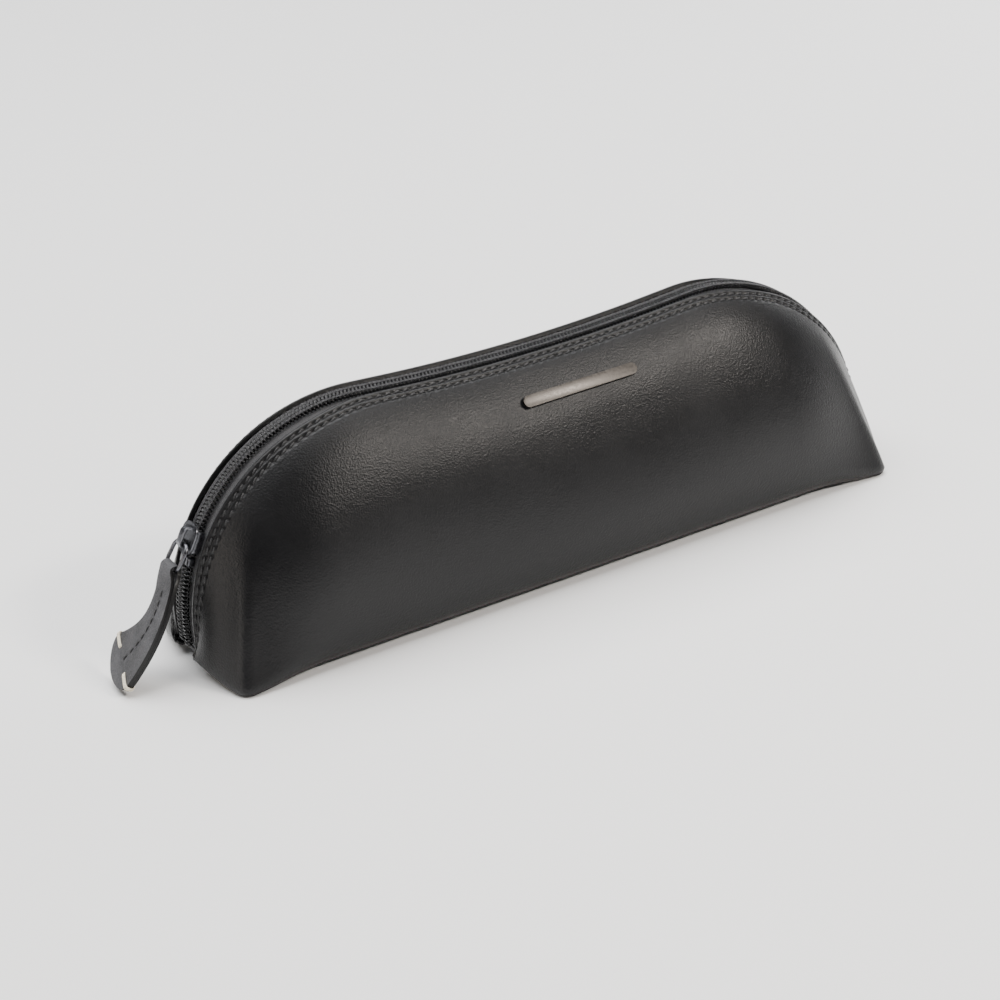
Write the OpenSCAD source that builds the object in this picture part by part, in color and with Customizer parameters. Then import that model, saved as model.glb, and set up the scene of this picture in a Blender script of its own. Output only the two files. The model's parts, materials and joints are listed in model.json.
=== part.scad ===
// Zipped leather pen case on a boxed foot. Millimetres, +Z up, +X along the case,
// the front wall faces -Y. The origin lies on the table, under the middle of the foot.

/* [Case] */
// Length between the two front corners of the foot
case_l = 225; // [180:1:275]
// Width of the foot, front to back
case_w = 58; // [48:1:72]
// Height of the zip line at the top of its shoulders
case_h = 67.6; // [56:0.1:82]
// Height where the upright ends of the zip line turn into the shoulders
shoulder_z = 11.8; // [9.5:0.1:14.5]
// Slope, in degrees, where each shoulder runs into the hollow middle of the top
top_slope = 5.3; // [3:0.1:8]
// How far the zip ends stand out past the corners
end_out = 5.5; // [3:0.1:8]
// How far the foot lifts off the table under the zip ends
end_lift = 2.8; // [1.5:0.1:4]
// Radius of the soft fold along the front and back of the foot
fold_r = 8; // [6.5:0.1:9.8]
// Radius of the fold at the corners of the foot
corner_fold_r = 3.2; // [3:0.1:4]
// Length of zip between its end and the crease that rises from a corner
crease_run = 45; // [36:1:55]

/* [Mouth] */
// How far the zip lies below the line of the leather edges and the foot's ends
zip_sunk = 1.2; // [0.8:0.1:1.6]
// Half of the mouth, from the zip's centre to the leather edge, at the middle
mouth_mid = 5.1; // [4.9:0.1:6.2]
// Half of the mouth at the shoulders and ends
mouth_end = 6.3; // [5.2:0.1:7.6]
// Angle at which the walls roll off from the mouth, in degrees
roll_off = 30; // [15:1:40]

/* [Layers] */
// Thickness of the outer leather
leather_t = 1.3; // [1.1:0.05:1.6]
// Space between leather and lining, which takes the zip tape and the glue
layer_gap = 0.6; // [0.55:0.05:0.8]
// Thickness of the lining
lining_t = 0.6; // [0.4:0.05:0.75]
// Thickness of the stiffening board in the foot
board_t = 1.5; // [1:0.1:2]
// Distance of the board's edge from the side of the foot
board_inset = 10.5; // [10:0.1:14]

/* [Zip] */
// Outer width of one coil row
coil_w = 2.0; // [1.6:0.05:2.4]
// Thickness of a coil row
coil_t = 2.1; // [1.7:0.05:2.5]
// Gap between each coil row and the zip's centre
coil_gap = 0.75; // [0.65:0.05:1]
// Thickness of the woven tape
tape_t = 0.4; // [0.3:0.05:0.44]
// Length of tape sewn under the leather
tape_under = 8; // [6.5:0.1:10]
// Length of each stop at the ends of the coil rows
stop_l = 2.6; // [2:0.1:4]

/* [Slider] */
// Place of the slider on the left shoulder, in degrees above its start
slider_at = 28; // [24:1:40]
// Length of the slider along the zip
slider_l = 9.2; // [7.5:0.1:11]
// Outer half width of the slider at its nose
slider_half = 4.3; // [4.2:0.05:4.5]
// Thickness of the slider's plates
plate_t = 0.8; // [0.6:0.05:1]
// Clearance between the slider's plates and the zip that runs through it
run_gap = 0.3; // [0.25:0.05:0.45]
// Width of the bail strap on the slider
bail_w = 2.4; // [1.8:0.1:3]
// Thickness of the bail strap
bail_t = 0.8; // [0.6:0.05:1.1]
// Length of the bail's opening along the zip
bail_l = 5; // [4:0.1:5.8]

/* [Pull] */
// Thickness of the pull link's wire
wire_d = 1.2; // [1:0.05:1.4]
// Distance between the link's two long sides, wire centre to wire centre
link_w = 7.8; // [7:0.1:9]
// Distance between the link's two ends, wire centre to wire centre
link_l = 8.0; // [7:0.1:9.5]
// Radius of the link's corners
link_r = 2.4; // [1.5:0.1:3]
// Free space around the wire in the bail and in the tab's loop
wire_gap = 0.15; // [0.1:0.05:0.3]
// Thickness of one layer of the leather tab
tab_t = 1.1; // [0.8:0.05:1.2]
// Half width of the tab at its loop
tab_neck = 3.0; // [2.6:0.1:3.1]
// Half width of the tab below its loop
tab_half = 3.7; // [3.3:0.1:5]
// Half width of the tab at its cross seam
tab_end_half = 9.3; // [7:0.1:12]
// Distance of the cross seam below the loop
tab_drop = 29.6; // [24:0.1:35]
// How far the middle of the cross seam lies behind the loop
tab_sway = 0.9; // [-2:0.1:4]
// Depth of the rounded end below the cross seam
tab_cap = 5.7; // [4:0.1:8]
// Turn of the tab's middle line where it starts, to the front, in degrees
tab_start_turn = 28; // [10:1:32]
// Turn of the middle line at the cross seam, to the back, in degrees
tab_end_turn = 33; // [15:1:40]
// Height of the tab's tip above the table
tip_clear = 1.2; // [0.8:0.1:3]

/* [Trim] */
// Length of the bar badge on the front
badge_l = 39; // [26:0.5:50]
// Width of the badge
badge_w = 3.6; // [3:0.1:5]
// Thickness of the badge
badge_t = 1.1; // [0.8:0.1:1.6]
// Distance of the badge from the middle of the case
badge_x = 8.5; // [-15:0.5:15]
// Distance of the badge from the leather edge, as a share of the wall
badge_down = 0.25; // [0.2:0.01:0.34]
// Spacing of the stitches along a row
stitch_pitch = 2.9; // [2.5:0.1:3.8]
// Distance of the first stitch row from the leather edge
stitch_in = 1.8; // [1.4:0.1:2.2]
// Distance between the two stitch rows
stitch_rows = 1.9; // [1.5:0.1:2.4]
// Thickness of the sewing thread
thread_d = 0.5; // [0.35:0.05:0.65]

/* [Hidden] */
$fn = 48;
eps = 0.02;                                   // bite that lets joined solids merge
touch = 0.05;                                 // room between parts that lie on each other
deg = 180 / PI;

// Zip line, in the plane y = 0. It is measured by its run from the middle of the top.
zip_x = case_l / 2 + end_out - zip_sunk;      // the zip's upright ends
shoulder_r = case_h - shoulder_z;
shoulder_x = zip_x - shoulder_r;              // centre of a shoulder
hollow_x = shoulder_x - shoulder_r * sin(top_slope);
hollow_r = hollow_x / sin(top_slope);         // radius of the hollow middle
hollow_z = shoulder_z + shoulder_r * cos(top_slope) - hollow_r * (1 - cos(top_slope));
hollow_run = hollow_r * top_slope / deg;
shoulder_run = shoulder_r * (90 + top_slope) / deg;
end_fold_r = corner_fold_r - 0.3;             // fold radius below the zip ends
end_z = end_lift + end_fold_r + 0.6;          // lowest point of the leather edge
half_run = hollow_run + shoulder_run + shoulder_z - end_z;
crease_s = half_run - crease_run;
corner_front = 5;                             // run over which a corner rounds, in front
corner_end = 8;                               // and on the end of the foot
corner_blend = 26;                            // run over which the front fold widens past a corner
lift_start = 2;                               // run past the crease where the foot starts to lift
end_curl = 1.6;                               // how full the foot's ends are; 1 is straight

// Leather edge: it widens from the middle of the top onto the shoulders
blend_before = 8;
blend_after = 22;
edge_mid_out = zip_sunk - 0.1;                // its level against the zip line, middle
edge_end_out = zip_sunk - 1.1;                // and shoulders

// Shares of a wall's height that shape its curve, and the lean of the wall over the foot:
// it bulges a little along the front and draws in above a corner
edge_pull = 0.29;
foot_pull = 0.33;
foot_lean = 0.035;
corner_lean = -0.12;
lean_run = 32;                                // run over which the lean changes

// Zip section, out from the zip line
tape_z = -coil_t / 2;                         // face of the tape that carries the coils
slider_top = coil_t / 2 + run_gap;
slider_sag = pow(slider_l, 2) / (8 * shoulder_r);     // fall of the curved zip under a straight slider
slider_bottom = tape_z - touch - tape_t - run_gap - slider_sag;
bail_gap = wire_d + 2 * wire_gap;
pivot_out = slider_top + plate_t + wire_gap + wire_d / 2;
pivot_along = bail_l / 2 - wire_gap - wire_d / 2;
stop_gap = 0.4;                               // between slider nose and top stops

// Slider and pull
pivot_x = -shoulder_x - (shoulder_r + pivot_out) * cos(slider_at) - pivot_along * sin(slider_at);
pivot_z = shoulder_z + (shoulder_r + pivot_out) * sin(slider_at) - pivot_along * cos(slider_at);
tab_len = tab_drop + norm([tab_end_half * sin(tab_end_turn), tab_cap * cos(tab_end_turn)]);
pull_lean = acos(min(0.99, (pivot_z - tip_clear) / (link_l + tab_len)));
loop_in = wire_d / 2 + wire_gap;
loop_out = loop_in + tab_t;

function mix(a, b, t) = a + (b - a) * t;
function ease(a, b, x) = let (t = min(1, max(0, (x - a) / (b - a)))) t * t * (3 - 2 * t);
function unit(v) = v / norm(v);
function side(s) = s < 0 ? -1 : 1;

// Point of the zip line at run s, as [x, z], and its outward normal
function zip_angle(s) = 90 + top_slope - (abs(s) - hollow_run) / shoulder_r * deg;
function zip_at(s) =
    let (r = abs(s), a = r / hollow_r * deg, b = zip_angle(s))
    r <= hollow_run ? [side(s) * hollow_r * sin(a), hollow_z + hollow_r * (1 - cos(a))]
    : b > 0 ? [side(s) * (shoulder_x + shoulder_r * cos(b)), shoulder_z + shoulder_r * sin(b)]
    : [side(s) * zip_x, end_z + half_run - r];
function zip_out(s) =
    let (r = abs(s), a = r / hollow_r * deg, b = zip_angle(s))
    r <= hollow_run ? [-side(s) * sin(a), cos(a)]
    : b > 0 ? [side(s) * cos(b), sin(b)]
    : [side(s), 0];
// Point beside the zip line: y across the case, out away from it
function beside(s, y, out) =
    let (p = zip_at(s), n = zip_out(s)) [p[0] + n[0] * out, y, p[1] + n[1] * out];

// Leather edge of the front wall
function on_shoulder(s) = ease(hollow_run - blend_before, hollow_run + blend_after, abs(s));
function mouth(s) = mix(mouth_mid, mouth_end, on_shoulder(s));
function edge_out(s) = mix(edge_mid_out, edge_end_out, on_shoulder(s));

// Outline of the foot's front half, with rounded corners
function foot_raw(s) =
    let (r = abs(s), w = (r - crease_s) / (half_run - crease_s))
    r <= crease_s ? [s / crease_s * case_l / 2, -case_w / 2]
    : [side(s) * (case_l / 2 + end_out * (1 - pow(1 - w, end_curl))), mix(-case_w / 2, -mouth_end, w)];
function foot(s) =
    let (r = abs(s), t = (r - crease_s + corner_front) / (corner_front + corner_end),
         a = foot_raw(side(s) * (crease_s - corner_front)), b = foot_raw(side(s) * crease_s),
         c = foot_raw(side(s) * (crease_s + corner_end)))
    t <= 0 || t >= 1 ? foot_raw(s)
    : a * (1 - t) * (1 - t) + b * 2 * t * (1 - t) + c * t * t;
function foot_normal(s) =
    let (h = 0.4, d = foot(min(s + h, half_run)) - foot(max(s - h, -half_run))) unit([d[1], -d[0]]);
function foot_lift(s) = end_lift * ease(crease_s + lift_start, half_run, abs(s));
function foot_fold(s) =
    let (r = abs(s))
    r < crease_s ? mix(corner_fold_r, fold_r, ease(0, corner_blend, crease_s - r))
    : mix(corner_fold_r, end_fold_r, ease(crease_s, half_run, r));

function lean_at(s) = mix(corner_lean, foot_lean, ease(0, lean_run, abs(abs(s) - crease_s)));

// Point of the front wall's outer face: t runs from the leather edge (0) to the tangent
// line of the foot's fold (1), and on round the fold to the base panel (2)
function wall_at(s, t) =
    let (o = foot(s), n = foot_normal(s), r = foot_fold(s), lift = foot_lift(s),
         top = beside(s, -mouth(s), edge_out(s)), out = zip_out(s),
         low = [o[0], o[1], lift + r], reach = norm(top - low),
         lead = [-sin(roll_off) * out[0], -cos(roll_off), -sin(roll_off) * out[1]],
         c1 = top + lead * reach * edge_pull,
         c2 = low + [n[0] * lean_at(s), n[1] * lean_at(s), foot_pull] * reach,
         u = min(t, 1), v = 1 - u, a = 90 * max(t - 1, 0))
    t <= 1 ? top * v * v * v + c1 * 3 * v * v * u + c2 * 3 * v * u * u + low * u * u * u
    : [o[0] - n[0] * r * (1 - cos(a)), o[1] - n[1] * r * (1 - cos(a)), lift + r * (1 - sin(a))];
// Length of wall, near the leather edge, that one unit of t covers
function wall_rate(s) = 3 * edge_pull * norm(wall_at(s, 1) - wall_at(s, 0));

// Stations along the zip and rows down the wall
function spread(a, b, n) = [for (i = [0 : n - 1]) mix(a, b, i / n)];
end_stations = spread(-half_run, -crease_s - corner_end, 6);
corner_stations = spread(-crease_s - corner_end, -crease_s + corner_front, 5);
front_stations = spread(-crease_s + corner_front, 0, 16);
left_stations = concat(end_stations, corner_stations, front_stations);
stations = concat(left_stations, [0], [for (i = [len(left_stations) - 1 : -1 : 0]) -left_stations[i]]);
wall_rows = [0, 0.05, 0.12, 0.2, 0.3, 0.42, 0.55, 0.68, 0.8, 0.9, 1, 1.25, 1.5, 1.75, 2];

// Inward normals of a grid of points, from its neighbours
function grid_normal(g, i, j) =
    let (a = g[max(i - 1, 0)][j], b = g[min(i + 1, len(g) - 1)][j],
         c = g[i][max(j - 1, 0)], d = g[i][min(j + 1, len(g[0]) - 1)])
    unit(cross(b - a, d - c));
function inset(g, depth) =
    [for (i = [0 : len(g) - 1]) [for (j = [0 : len(g[0]) - 1]) g[i][j] + grid_normal(g, i, j) * depth]];
function flat(rows) = [for (row = rows) for (p = row) p];

// Closed sheet between two grids of the same size; outer faces away from the case
module sheet(outer, inner) {
    n = len(outer);
    m = len(outer[0]);
    k = n * m;
    function at(i, j) = i * m + j;
    cells = [for (i = [0 : n - 2]) for (j = [0 : m - 2]) [i, j]];
    faces = concat(
        [for (c = cells) [at(c[0], c[1]), at(c[0] + 1, c[1]), at(c[0] + 1, c[1] + 1)]],
        [for (c = cells) [at(c[0], c[1]), at(c[0] + 1, c[1] + 1), at(c[0], c[1] + 1)]],
        [for (c = cells) [k + at(c[0], c[1]), k + at(c[0] + 1, c[1] + 1), k + at(c[0] + 1, c[1])]],
        [for (c = cells) [k + at(c[0], c[1]), k + at(c[0], c[1] + 1), k + at(c[0] + 1, c[1] + 1)]],
        [for (i = [0 : n - 2]) [at(i, 0), k + at(i, 0), k + at(i + 1, 0)]],
        [for (i = [0 : n - 2]) [at(i, 0), k + at(i + 1, 0), at(i + 1, 0)]],
        [for (i = [0 : n - 2]) [at(i, m - 1), k + at(i + 1, m - 1), k + at(i, m - 1)]],
        [for (i = [0 : n - 2]) [at(i, m - 1), at(i + 1, m - 1), k + at(i + 1, m - 1)]],
        [for (j = [0 : m - 2]) [at(0, j), k + at(0, j + 1), k + at(0, j)]],
        [for (j = [0 : m - 2]) [at(0, j), at(0, j + 1), k + at(0, j + 1)]],
        [for (j = [0 : m - 2]) [at(n - 1, j), k + at(n - 1, j), k + at(n - 1, j + 1)]],
        [for (j = [0 : m - 2]) [at(n - 1, j), k + at(n - 1, j + 1), at(n - 1, j + 1)]]
    );
    polyhedron(concat(flat(outer), flat(inner)), faces, convexity = 8);
}

// Sweep of a closed section [[y, out], ...] along the zip line
module zip_sweep(section, runs) {
    m = len(section);
    n = len(runs);
    points = [for (s = runs) for (q = section) beside(s, q[0], q[1])];
    faces = concat(
        [for (i = [0 : n - 2]) for (j = [0 : m - 1])
            [i * m + j, (i + 1) * m + j, (i + 1) * m + (j + 1) % m]],
        [for (i = [0 : n - 2]) for (j = [0 : m - 1])
            [i * m + j, (i + 1) * m + (j + 1) % m, i * m + (j + 1) % m]],
        [[for (j = [0 : m - 1]) j], [for (j = [m - 1 : -1 : 0]) (n - 1) * m + j]]
    );
    polyhedron(points, faces, convexity = 8);
}

// Puts its children on the zip line at run s: x along the zip, z outwards
module on_zip(s) {
    n = zip_out(s);
    translate(beside(s, 0, 0)) rotate([0, atan2(n[0], n[1]), 0]) children();
}

// Puts its children on the front wall's outer face: x along the row, z outwards
module on_wall(s, t) {
    p = wall_at(s, t);
    x = unit(wall_at(s + 0.5, t) - wall_at(s - 0.5, t));
    down = wall_at(s, t + 0.01) - wall_at(s, t - 0.01);
    z = unit(cross(down, x));
    y = cross(z, x);
    multmatrix([[x[0], y[0], z[0], p[0]], [x[1], y[1], z[1], p[1]], [x[2], y[2], z[2], p[2]],
                [0, 0, 0, 1]]) children();
}

module slab(l, w, t, r) {
    linear_extrude(t) {
        square([l - 2 * r, w], center = true);
        square([l, w - 2 * r], center = true);
        for (x = [-1, 1], y = [-1, 1]) translate([x * (l / 2 - r), y * (w / 2 - r)]) circle(r);
    }
}

// ---- Walls ----

wall_grid = [for (s = stations) [for (t = wall_rows) wall_at(s, t)]];

module wall_leather() {
    sheet(wall_grid, inset(wall_grid, leather_t));
}

// Lining: its upper edge lies one wall row down, and it stops short of the zip's ends
lining_short = 4;
lining_grid = [for (s = stations) let (u = s * (1 - lining_short / half_run))
    [for (j = [1 : len(wall_rows) - 1]) wall_at(u, wall_rows[j])]];
module wall_lining() {
    depth = leather_t + layer_gap;
    sheet(inset(lining_grid, depth), inset(lining_grid, depth + lining_t));
}

// Tape: flat beside the coil, then under the leather edge and down between leather and lining.
// Its lower edge is tape_under down the wall at the middle, and keeps its share of the wall elsewhere.
tape_rows = 3;                                // wall rows that the tape crosses in full
tape_share = tape_under / wall_rate(0);
tape_last = (tape_share - wall_rows[tape_rows - 1]) / (wall_rows[tape_rows] - wall_rows[tape_rows - 1]);
flat_short = 0.4;                             // the flat stops this far before the leather's inner edge
// or, in a narrow mouth, at the side of the slider
function flat_end(y) = -max(-y - flat_short, min(-y - touch, slider_half + 2 * touch));

function tape_face(level) =
    let (sunk = inset(wall_grid, leather_t + 2 * touch + level))
    [for (i = [0 : len(stations) - 1])
        let (s = stations[i], row = sunk[i], rise = tape_z - touch - level)
        concat([beside(s, -coil_gap, rise), beside(s, flat_end(sunk[i][0][1]), rise)],
               [for (j = [0 : tape_rows - 1]) row[j]],
               [mix(row[tape_rows - 1], row[tape_rows], tape_last)])];

module wall_tape() {
    sheet(tape_face(0), tape_face(tape_t));
}

stop_room = 0.1;                              // between a stop and the coil ends beside it
slider_run = hollow_run + shoulder_run - shoulder_r * slider_at / deg;
top_stop_run = slider_run + slider_l / 2 + stop_gap + stop_l / 2;
coil_count = 72;
tail_count = 7;
coil_first = -(top_stop_run - stop_l / 2 - stop_room);
coil_last = half_run - stop_l - 0.6;
tail_last = -(top_stop_run + stop_l / 2 + stop_room);
coil_runs = [for (i = [0 : coil_count]) mix(coil_first, coil_last, i / coil_count)];
tail_runs = [for (i = [0 : tail_count]) mix(-half_run, tail_last, i / tail_count)];
coil_bevel = 0.5;

// A coil row: the meshing length, and the tail that is sewn down past the top stop
module wall_coil() {
    inner = coil_gap;
    outer = coil_gap + coil_w;
    h = coil_t / 2;
    section = [[-inner, -h], [-inner, h - coil_bevel], [-inner - coil_bevel, h],
               [-outer + coil_bevel, h], [-outer, h - coil_bevel], [-outer, -h]];
    zip_sweep(section, coil_runs);
    zip_sweep(section, tail_runs);
}

module wall_top_stop() {
    on_zip(-top_stop_run)
        translate([-stop_l / 2, -coil_gap - coil_w, -coil_t / 2])
            cube([stop_l, coil_w, coil_t]);
}

stitch_turn = 12;                             // slant of a stitch against its row, in degrees
stitch_fill = 0.72;                           // share of the pitch that a stitch covers
stitch_flat = 0.6;                            // its height as a share of the thread
stitch_end = 3;                               // run left free of stitches at each zip end
module wall_stitching() {
    count = floor((half_run - stitch_end) / stitch_pitch);
    for (row = [0, 1], i = [-count : count]) {
        s = (i + row / 2) * stitch_pitch;
        depth = stitch_in + row * stitch_rows;
        if (abs(s) < half_run - stitch_end) on_wall(s, depth / wall_rate(s)) rotate([0, 0, stitch_turn])
            translate([-stitch_pitch * stitch_fill / 2, -thread_d / 2, 2 * touch])
                cube([stitch_pitch * stitch_fill, thread_d, thread_d * stitch_flat]);
    }
}

module front_panel() { color("#2c2b2d") wall_leather(); }
module back_panel() { color("#2c2b2d") mirror([0, 1, 0]) wall_leather(); }
module front_lining() { color("#3a3a3e") wall_lining(); }
module back_lining() { color("#3a3a3e") mirror([0, 1, 0]) wall_lining(); }
module front_tape() { color("#1d1d20") wall_tape(); }
module back_tape() { color("#1d1d20") mirror([0, 1, 0]) wall_tape(); }
module front_coil() { color("#0e0e10") wall_coil(); }
module back_coil() { color("#0e0e10") mirror([0, 1, 0]) wall_coil(); }
module front_top_stop() { color("#4a4a4d") wall_top_stop(); }
module back_top_stop() { color("#4a4a4d") mirror([0, 1, 0]) wall_top_stop(); }
module front_stitching() { color("#101012") wall_stitching(); }
module back_stitching() { color("#101012") mirror([0, 1, 0]) wall_stitching(); }

// ---- Foot ----

// Sheet of the foot between the ends of the two walls' folds
base_seam = 0.35;                             // room for the seam between it and the folds
module base_panel() {
    rim = [for (s = stations) let (p = wall_at(s, 2), n = foot_normal(s))
        [p[0] - n[0] * base_seam, p[1] - n[1] * base_seam, p[2]]];
    shares = [1, 0.5, 0, -0.5, -1];
    low = [for (p = rim) [for (w = shares) [p[0], p[1] * w, p[2]]]];
    high = [for (p = rim) [for (w = shares) [p[0], p[1] * w, p[2] + leather_t]]];
    color("#2c2b2d") sheet(high, low);
}

board_w = case_w - 2 * board_inset;
board_l = case_l - 2 * board_inset - 6;       // shorter, so that it clears the foot's lifted ends
board_r = 6;
lining_over = 1;                              // how far the lining laps past the board
module base_board() {
    color("#8a7350") translate([0, 0, leather_t + touch]) slab(board_l, board_w, board_t, board_r);
}
module base_lining() {
    color("#3a3a3e") translate([0, 0, leather_t + board_t + 2 * touch])
        slab(board_l + 2 * lining_over, board_w + 2 * lining_over, lining_t, board_r + lining_over);
}

// Binding that closes the foot behind the zip's end and covers the end seam
binding_w = 2 * (mouth_end - 1.5);
binding_t = 1.2;
binding_in = 3.2;                             // distance from the zip line to its outer face
binding_h = 6;
module end_binding() {
    translate([zip_x - binding_in - binding_t, -binding_w / 2, end_lift + leather_t + 2 * touch])
        cube([binding_t, binding_w, binding_h]);
}
module end_binding_right() { color("#1d1d20") end_binding(); }
module end_binding_left() { color("#1d1d20") mirror([1, 0, 0]) end_binding(); }

// Stop that holds both coil rows together at the right end
module bottom_stop() {
    color("#4a4a4d") on_zip(half_run - stop_l / 2)
        translate([-stop_l / 2, -coil_gap - coil_w, -coil_t / 2])
            cube([stop_l, 2 * (coil_gap + coil_w), coil_t]);
}

// ---- Badge ----

prong_x = badge_l / 2 - 5;
prong_d = 1.4;
prong_hole = 1.6;
badge_lift = 0.35;                            // the bar is straight and the wall curves away under it
prong_l = leather_t + layer_gap * 0.6;        // prongs reach the backing strip in the layer gap
module badge_bar() {
    color("#5b5b5f") on_wall(badge_x, badge_down) {
        translate([0, 0, badge_lift]) slab(badge_l, badge_w, badge_t, badge_w / 2 - eps);
        for (x = [-prong_x, prong_x]) translate([x, 0, -prong_l])
            cylinder(d = prong_d, h = prong_l + badge_lift + touch);
    }
}
module badge_backing() {
    color("#77777a") on_wall(badge_x, badge_down)
        translate([0, 0, -leather_t - layer_gap + 2 * touch]) difference() {
            slab(badge_l - 3, badge_w - 1.2, layer_gap / 2, 1);
            for (x = [-prong_x, prong_x]) translate([x, 0, -layer_gap])
                cylinder(d = prong_hole, h = 3 * layer_gap);
        }
}

// ---- Slider ----

// Local frame of the slider: x points back along the closed zip, z outwards
module at_slider() {
    translate([-shoulder_x, 0, shoulder_z]) rotate([0, slider_at - 90, 0])
        translate([0, 0, shoulder_r]) children();
}

slider_taper = 0.35;                          // the rear is this much narrower per side
slider_chamfer = 1.6;
module slider_plate() {
    nose = slider_l / 2;
    rear = slider_half - slider_taper;
    r = slider_chamfer;
    polygon([[-nose, -slider_half + r], [-nose + r, -slider_half], [0, -slider_half],
             [nose - r, -rear], [nose, -rear + r], [nose, rear - r], [nose - r, rear],
             [0, slider_half], [-nose + r, slider_half], [-nose, slider_half - r]]);
}

bail_r = 1;                                   // inner corner radius of the bail
post_gap = 0.22;                              // between a coil row and the slider's post
post_l = 2.4;
post_in = 0.5;                                // distance of the post from the nose
module bail_outline(grow) {
    l = bail_l + 2 * grow;
    h = bail_gap + grow;
    r = bail_r + grow * 0.8;
    square([l, bail_gap / 2]);
    translate([r, h - r]) circle(r);
    translate([l - r, h - r]) circle(r);
    translate([r, 0]) square([l - 2 * r, h]);
    square([l, h - r]);
}

module slider_body() {
    flange_in = coil_gap + coil_w + run_gap;
    flange_low = tape_z + run_gap;
    color("#6a6a6e") at_slider() {
        translate([0, 0, slider_top]) linear_extrude(plate_t) slider_plate();
        translate([0, 0, slider_bottom - plate_t]) linear_extrude(plate_t) slider_plate();
        translate([0, 0, flange_low]) linear_extrude(slider_top - flange_low + eps)
            difference() {
                slider_plate();
                square([slider_l + 2, 2 * flange_in], center = true);
            }
        translate([-slider_l / 2 + post_in, -coil_gap + post_gap, slider_bottom - eps])
            cube([post_l, 2 * (coil_gap - post_gap), slider_top - slider_bottom + 2 * eps]);
        translate([-bail_l / 2 - bail_t, bail_w / 2, slider_top + plate_t - eps]) rotate([90, 0, 0])
            linear_extrude(bail_w) difference() {
                bail_outline(bail_t);
                translate([bail_t, -eps / 4]) bail_outline(0);
            }
    }
}

// ---- Pull ----

// Local frame of the pull: origin on the link's top bar, z up the link, x outwards
module at_pull() {
    translate([pivot_x, 0, pivot_z]) rotate([0, pull_lean, 0]) mirror([1, 0, 0]) children();
}

module wire(l) { cylinder(d = wire_d, h = l, center = true); }

module pull_link() {
    w = link_w / 2;
    color("#55555a") at_pull() {
        for (z = [0, -link_l]) translate([0, 0, z]) rotate([90, 0, 0]) wire(link_w - 2 * link_r + eps);
        for (y = [-w, w]) translate([0, y, -link_l / 2]) wire(link_l - 2 * link_r + eps);
        for (k = [0 : 3]) {
            up = k < 2 ? 1 : -1;
            out = k % 2 == 0 ? 1 : -1;
            translate([0, out * (w - link_r), -link_l / 2 + up * (link_l / 2 - link_r)])
                rotate([0, 90, 0]) rotate([0, 0, up > 0 ? (out > 0 ? 90 : 180) : (out > 0 ? 0 : 270)])
                    rotate_extrude(angle = 90) translate([link_r, 0]) circle(d = wire_d);
        }
    }
}

// Middle line of the tab as [to the front, down], its turn, and the half width beside it
tab_handle = 0.43 * tab_drop;                 // reach of the curve's two handles
tab_a = [sin(tab_start_turn), cos(tab_start_turn)] * tab_handle;
tab_c = [-tab_sway, tab_drop];
tab_b = tab_c - [-sin(tab_end_turn), cos(tab_end_turn)] * tab_handle;
tab_spread = 2.2;                             // how late the tab widens
function tab_mid(q) =
    let (v = 1 - q) tab_a * 3 * v * v * q + tab_b * 3 * v * q * q + tab_c * q * q * q;
function tab_turn(q) =
    let (v = 1 - q, d = tab_a * v * v + (tab_b - tab_a) * 2 * v * q + (tab_c - tab_b) * q * q)
    atan2(d[0], d[1]);
function tab_wide(q) = mix(tab_half, tab_end_half, pow(q, tab_spread));
function tab_side(q, k) =
    let (p = tab_mid(q), a = tab_turn(q)) [p[0] + k * cos(a), p[1] - k * sin(a)];

// Outline of the tab below its loop, seen from outside: x to the front, y down
tab_steps = 14;
cap_steps = 12;
shoulder_q = 0.06;                            // share of the tab where it has its full width
neck_l = 0.9;                                 // straight length below the loop
side_shares = [for (i = [1 : tab_steps]) mix(shoulder_q, 1, i / tab_steps)];
module tab_outline() {
    cap = [for (i = [1 : cap_steps - 1])
        let (a = 180 * i / cap_steps, m = tab_mid(1), t = tab_turn(1),
             u = tab_end_half * cos(a), v = tab_cap * sin(a))
        [m[0] + u * cos(t) + v * sin(t), m[1] - u * sin(t) + v * cos(t)]];
    polygon(concat(
        [[-tab_neck, 0], [tab_neck, 0], [tab_neck, neck_l]],
        [for (q = side_shares) tab_side(q, tab_wide(q))],
        cap,
        [for (i = [tab_steps - 1 : -1 : 0]) tab_side(side_shares[i], -tab_wide(side_shares[i]))],
        [[-tab_neck, neck_l]]
    ));
}

// Local frame of the tab: x to the front of the case, y down the tab, z outwards
module at_tab() {
    at_pull() translate([0, 0, -link_l]) rotate([0, 90, 0]) rotate([0, 0, -90]) children();
}

// Hole through the tab's loop: it flares where the link's corners leave the straight bar
bar_half = link_w / 2 - link_r;
flare_l = tab_neck - bar_half + eps;
flare = link_r - sqrt(pow(link_r, 2) - pow(flare_l, 2));
module loop_hole() {
    rotate([0, 90, 0]) cylinder(r = loop_in, h = 4 * tab_neck, center = true);
    for (a = [-90, 90]) rotate([0, a, 0]) translate([0, 0, bar_half])
        cylinder(r1 = loop_in, r2 = loop_in + flare, h = flare_l);
}

module pull_tab() {
    color("#6b6b6e") at_tab() difference() {
        union() {
            translate([0, 0, -tab_t]) linear_extrude(2 * tab_t) tab_outline();
            rotate([0, 90, 0]) cylinder(r = loop_out, h = 2 * tab_neck, center = true);
        }
        loop_hole();
    }
}

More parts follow.
